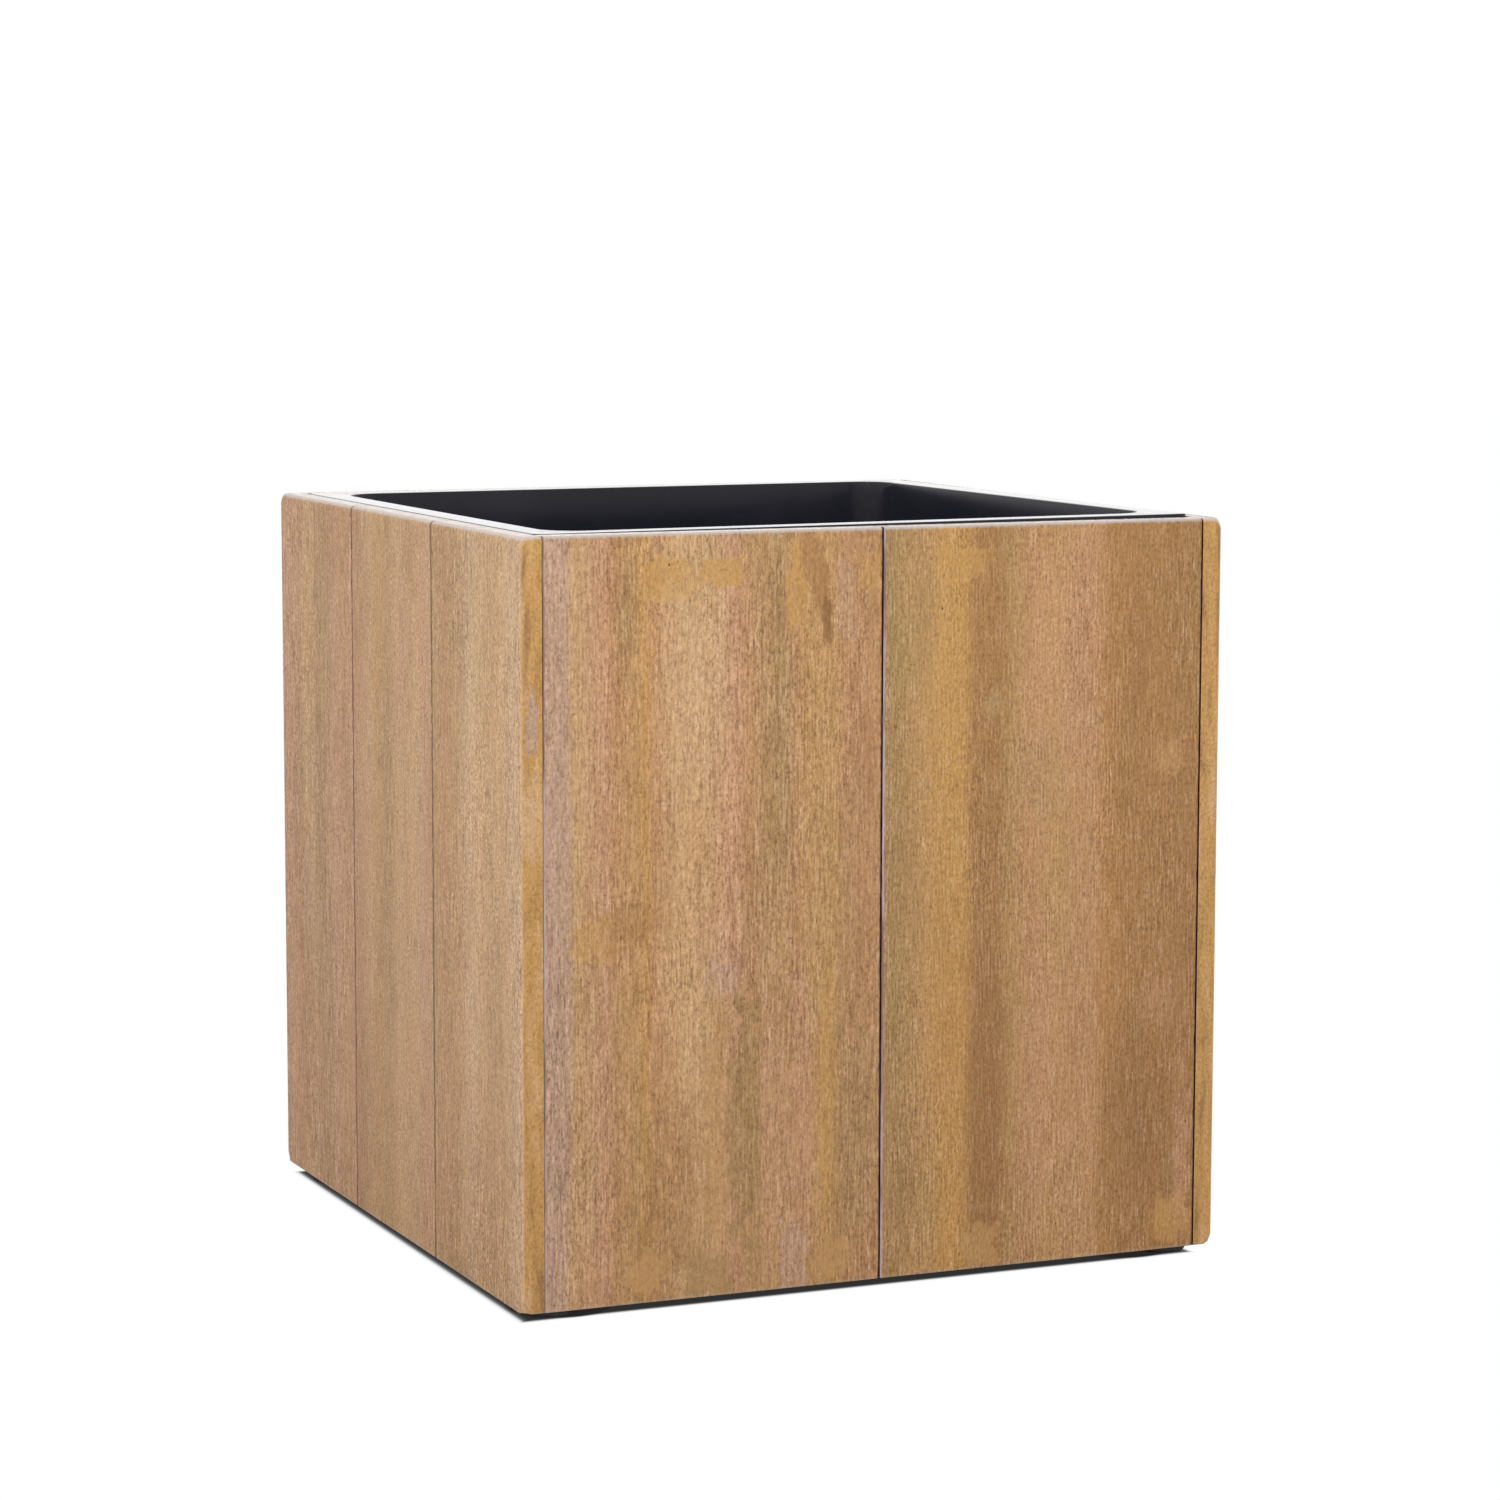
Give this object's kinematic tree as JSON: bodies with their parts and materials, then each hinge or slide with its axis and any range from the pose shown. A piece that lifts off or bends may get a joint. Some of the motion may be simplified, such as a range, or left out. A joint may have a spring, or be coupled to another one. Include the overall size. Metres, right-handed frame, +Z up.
{
  "type": "planter box",
  "caption": "Square free-standing planter of upright hardwood boards on a hidden frame, low feet under the corners, and a plastic liner that lifts out of the top.",
  "frame": {"origin": "floor level under the middle of the planter", "axes": "+Z up, the front panel with two wide boards faces -Y, +X to the right seen from the front"},
  "size_m": [0.5, 0.5, 0.501],
  "materials": {
    "board_wood": "brushed hardwood with a thin pale wash, matt oiled",
    "frame_wood": "planed hardwood, unfinished",
    "liner_plastic": "satin black moulded plastic",
    "foot_plastic": "matt black moulded plastic",
    "screw_steel": "zinc-plated steel"
  },
  "bodies": {
    "case": {"left_board_back": "board_wood", "left_board_middle": "board_wood", "left_board_front": "board_wood", "front_board_left": "board_wood", "front_board_right": "board_wood", "right_board_front": "board_wood", "right_board_middle": "board_wood", "right_board_back": "board_wood", "back_board_right": "board_wood", "back_board_left": "board_wood", "corner_post_front_left": "frame_wood", "corner_post_front_right": "frame_wood", "corner_post_back_right": "frame_wood", "corner_post_back_left": "frame_wood", "top_rail_left": "frame_wood", "top_rail_front": "frame_wood", "top_rail_right": "frame_wood", "top_rail_back": "frame_wood", "bottom_rail_left": "frame_wood", "bottom_rail_front": "frame_wood", "bottom_rail_right": "frame_wood", "bottom_rail_back": "frame_wood", "floor_slat_1": "frame_wood", "floor_slat_2": "frame_wood", "floor_slat_3": "frame_wood", "floor_slat_4": "frame_wood", "floor_slat_5": "frame_wood", "foot_front_left": "foot_plastic", "foot_front_right": "foot_plastic", "foot_back_right": "foot_plastic", "foot_back_left": "foot_plastic", "top_rail_screws": "screw_steel", "bottom_rail_screws": "screw_steel", "post_screws": "screw_steel", "slat_screws": "screw_steel", "foot_screws": "screw_steel"},
    "liner": {"liner": "liner_plastic"}
  },
  "joints": [
    {"name": "liner_lift", "type": "slide", "parent": "case", "child": "liner", "axis": [0, 0, 1], "range_m": [0, 0.46]}
  ]
}
